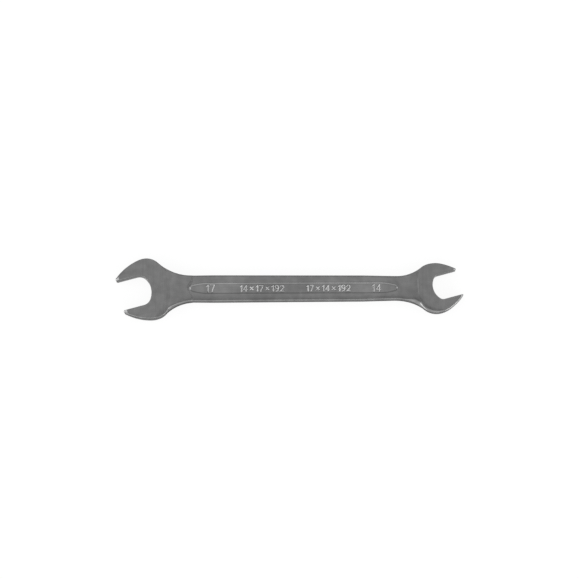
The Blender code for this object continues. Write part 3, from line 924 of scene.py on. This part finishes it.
def ground_steel(look, head):
    """Chrome vanadium steel, ground flat: streaks along the jaws and across behind them, a painted glint at
    the tips and painted shade by the step.
    """
    slot = head.angle if head.direction > 0 else head.angle + math.pi
    size = (look.streak_length, look.streak_spacing, look.streak_spacing)
    grains = [Grain(size, angle, tone=0.07) for angle in (math.pi / 2, slot)]
    # Painted shade: each face is painted darker towards its step
    face_step_shade = look.small_step_painted_shade if head.direction > 0 else look.large_step_painted_shade_and_light

    def along_jaws(tree):
        return add_node(tree, "SeparateXYZ", {0: turned(tree, head.centre, slot)})

    def share_in_jaws(tree):
        return level(tree, along_jaws(tree), 0.0, 1.0, 0.0, head.throat_radius)

    # Painted glint: the ends of the jaws mix towards the rubbed colour, standing in for light caught by the
    # noses' bevels
    def painted_tip_glint(tree):
        start = head.reach - head.nose_radius * TIP_GLINT_SHARE
        return level(tree, along_jaws(tree), 0.0, 1.0, start, start + TIP_GLINT_RUN)

    return steel(f"ground chrome vanadium steel {head.name}", look.ground, look.grazing,
                 look.ground_roughness, grains, look, wear_share=0.2, area=share_in_jaws,
                 glint_area=painted_tip_glint, steps=[(head, -face_step_shade)])


def linished_steel(look, large, small):
    """Chrome vanadium steel, drop forged and linished: satin with soft streaks along the shank. It carries
    painted shade by the small head's step, painted light on the large head's neck by its step, and a painted
    highlight on the ends of the recess floor.
    """
    size = (look.streak_length, look.grain_size, look.grain_size)
    grain = Grain(size)
    return steel("linished chrome vanadium steel", look.forged, look.grazing, look.forged_roughness, (grain,),
                 look, wear_share=0.12, steps=[(large, look.large_step_painted_shade_and_light), (small, -look.small_step_painted_shade)])


def forged_steel(look):
    """Chrome vanadium steel, drop forged and shot blasted: an even satin with a fine grain."""
    grain = Grain((look.grain_size,) * 3, depth=0.000005)
    return steel("forged chrome vanadium steel", look.forged, look.wall_grazing, look.forged_roughness,
                 (grain,), look, wear_share=0.12)


def broached_steel(look):
    """Chrome vanadium steel, broached: plain bright walls with fine tool lines through the thickness."""
    size = (look.streak_spacing / 2, look.streak_spacing / 2, look.streak_length)
    grain = Grain(size, tone=0.08, depth=0.000006)
    return steel("broached chrome vanadium steel", look.broached, look.wall_grazing, look.ground_roughness,
                 (grain,), look, wear_share=0.2)


def rubbed_and_sheen_steel(look):
    """Forged steel on raised numbers, rubbed bright and smooth on top by hands and boxes. The bright tops are
    partly a painted highlight, standing in for light caught by the strokes' edges.
    """
    grain = Grain((look.grain_size,) * 3)
    return steel("rubbed chrome vanadium steel", look.forged, look.grazing, look.forged_roughness, (grain,),
                 look, wear_share=1.0)


def matt_board(look):
    """Matt painted board: pale and without gloss. Seen or mirrored directly, most of its tone is its own.

    From underneath it can be seen through, so that it hides nothing of the wrench.
    """
    material = bpy.data.materials.new("matt painted board")
    material.use_nodes = True
    tree = material.node_tree
    surface = tree.nodes["Principled BSDF"]
    surface.inputs["Roughness"].default_value = 1.0
    surface.inputs["Specular IOR Level"].default_value = 0.0
    mottle = level(tree, pattern(tree, (MOTTLE_SIZE,) * 3), MOTTLE_DARKEST, 1.0, 0.0, 1.0)
    paint = add_node(tree, "VectorMath", {0: look.floor[:3], "Scale": mottle}, operation="SCALE")
    tree.links.new(paint, surface.inputs["Base Color"])
    path = add_node(tree, "LightPath").node.outputs
    seen = sum_up(tree, "MAXIMUM", path["Is Camera Ray"], path["Is Glossy Ray"], path["Is Transmission Ray"])
    own = sum_up(tree, "MULTIPLY", seen, OWN_WHITE_SHARE)
    white = add_node(tree, "Emission", {"Color": (1.0, 1.0, 1.0, 1.0), "Strength": 1.0})
    lit = add_node(tree, "MixShader", {0: own, 1: surface.outputs[0], 2: white})
    beneath = add_node(tree, "NewGeometry", output="Backfacing")
    clear = add_node(tree, "BsdfTransparent")
    shown = add_node(tree, "MixShader", {0: beneath, 1: lit, 2: clear})
    tree.links.new(shown, tree.nodes["Material Output"].inputs["Surface"])
    return material


def towards(azimuth, elevation):
    """Direction from the wrench at an azimuth, 0 in front and 90 at the right, and an elevation."""
    return Vector((math.sin(azimuth) * math.cos(elevation), -math.cos(azimuth) * math.cos(elevation),
                   math.sin(elevation)))


def looking_from(direction, distance, aim, roll=0.0):
    """Placement of a camera or lamp that looks at a point from a direction."""
    turn = direction.to_track_quat("Z", "Y").to_matrix().to_4x4()
    return Matrix.Translation(aim + direction * distance) @ turn @ Matrix.Rotation(roll, 4, "Z")


def build_floor(look):
    """Level square floor a hair below the wrench."""
    steps = np.linspace(-FLOOR_SIZE / 2, FLOOR_SIZE / 2, FLOOR_POINTS)
    x, y = np.meshgrid(steps, steps)
    points = np.stack((x, y, 0 * x + LOWEST.z - FLOOR_GAP), axis=-1)
    floor = new_piece("floor", points, grid_quads(FLOOR_POINTS, FLOOR_POINTS).tolist(), [matt_board(look)])


def build_lamps():
    """Soft lamps, each as bright as its radiance says: power = radiance times area times pi."""
    for name, azimuth, elevation, distance, width, height, brightness in LAMPS:
        lamp = bpy.data.lights.new(name, "AREA")
        lamp.shape = "RECTANGLE"
        lamp.size, lamp.size_y = width, height
        lamp.energy = brightness * width * height * math.pi
        holder = bpy.data.objects.new(name, lamp)
        direction = towards(math.radians(azimuth), math.radians(elevation))
        holder.matrix_world = looking_from(direction, distance, Vector())
        bpy.context.scene.collection.objects.link(holder)


def build_world(look):
    """Even pale surroundings."""
    world = bpy.data.worlds.new("studio")
    world.use_nodes = True
    background = world.node_tree.nodes["Background"].inputs
    background["Color"].default_value = (1.0, 1.0, 1.0, 1.0)
    background["Strength"].default_value = look.world_level
    bpy.context.scene.world = world


def build_camera(look):
    """Camera high in front of the wrench, whose view is view_width wide at the wrench."""
    data = bpy.data.cameras.new("camera")
    data.lens = data.sensor_width * look.camera_distance / look.view_width
    camera = bpy.data.objects.new("camera", data)
    direction = towards(0.0, look.elevation)
    camera.matrix_world = looking_from(direction, look.camera_distance, CAMERA_AIM, look.roll)
    bpy.context.scene.collection.objects.link(camera)
    bpy.context.scene.camera = camera


class WRENCH_OT_heads(bpy.types.Operator):
    """Makes the two heads with their slots"""

    bl_idname = "wrench.heads"
    bl_label = "Heads"

    def execute(self, context):
        look = context.scene.steel_look
        forged, broached = forged_steel(look), broached_steel(look)
        for head in heads(context.scene.wrench_sizes):
            on_wrench(build_head(head, [ground_steel(look, head), forged, broached]))
        return {"FINISHED"}


class WRENCH_OT_shank(bpy.types.Operator):
    """Makes the shank with its necks and recesses"""

    bl_idname = "wrench.shank"
    bl_label = "Shank"

    def execute(self, context):
        sizes = context.scene.wrench_sizes
        large, small = heads(sizes)
        on_wrench(build_shank(large, small, sizes, linished_steel(context.scene.steel_look, large, small)),
                 replaces=True)
        return {"FINISHED"}


class WRENCH_OT_numbers(bpy.types.Operator):
    """Makes the raised size numbers"""

    bl_idname = "wrench.numbers"
    bl_label = "Size numbers"

    def execute(self, context):
        sizes = context.scene.wrench_sizes
        # The numbers' rubbed bright tops are partly a painted highlight
        material = rubbed_and_sheen_steel(context.scene.steel_look)
        large, small = sizes.number_height * SIZE_HEIGHT_SHARE, sizes.number_height
        numbers = [("large_size_top", "17", LARGE_NUMBER_PLACE, 1, large),
                   ("small_size_top", "14", SMALL_NUMBER_PLACE, 1, large),
                   ("left_sizes_top", "14 × 17 × 192", LEFT_PAIR_PLACE, 1, small),
                   ("right_sizes_top", "17 × 14 × 192", RIGHT_PAIR_PLACE, 1, small),
                   ("large_size_under", "17", LARGE_NUMBER_PLACE, -1, large),
                   ("small_size_under", "14", SMALL_NUMBER_PLACE, -1, large)]
        for name, text, place, face, height in numbers:
            on_wrench(build_number(name, text, place, face, height, sizes, material))
        return {"FINISHED"}


class WRENCH_OT_stage(bpy.types.Operator):
    """Makes the floor, the lamps, the surroundings and the camera"""

    bl_idname = "wrench.stage"
    bl_label = "Stage"

    def execute(self, context):
        look = context.scene.studio_look
        build_floor(look)
        build_lamps()
        build_world(look)
        build_camera(look)
        context.scene.view_settings.view_transform = "Standard"
        return {"FINISHED"}


class WRENCH_PT_parts(bpy.types.Panel):
    """Sizes, colours and buttons for the wrench"""

    bl_idname = "WRENCH_PT_parts"
    bl_label = "Wrench"
    bl_space_type = "VIEW_3D"
    bl_region_type = "UI"
    bl_category = "Wrench"

    def draw(self, context):
        for name in GROUPS:
            group = getattr(context.scene, name)
            box = self.layout.box()
            for setting in group.__annotations__:
                box.prop(group, setting)
        for operator in OPERATORS:
            self.layout.operator(operator.bl_idname)


GROUPS = {"wrench_sizes": WrenchSizes, "steel_look": SteelLook, "studio_look": StudioLook}
OPERATORS = (WRENCH_OT_shank, WRENCH_OT_heads, WRENCH_OT_numbers, WRENCH_OT_stage)
CLASSES = (*GROUPS.values(), *OPERATORS, WRENCH_PT_parts)


def register():
    for cls in CLASSES:
        bpy.utils.register_class(cls)
    for name, group in GROUPS.items():
        setattr(bpy.types.Scene, name, PointerProperty(type=group))


def unregister():
    for name in GROUPS:
        delattr(bpy.types.Scene, name)
    for cls in reversed(CLASSES):
        bpy.utils.unregister_class(cls)


def main():
    register()
    bpy.ops.wrench.shank()
    bpy.ops.wrench.heads()
    bpy.ops.wrench.numbers()
    bpy.ops.wrench.stage()


if __name__ == "__main__":
    main()
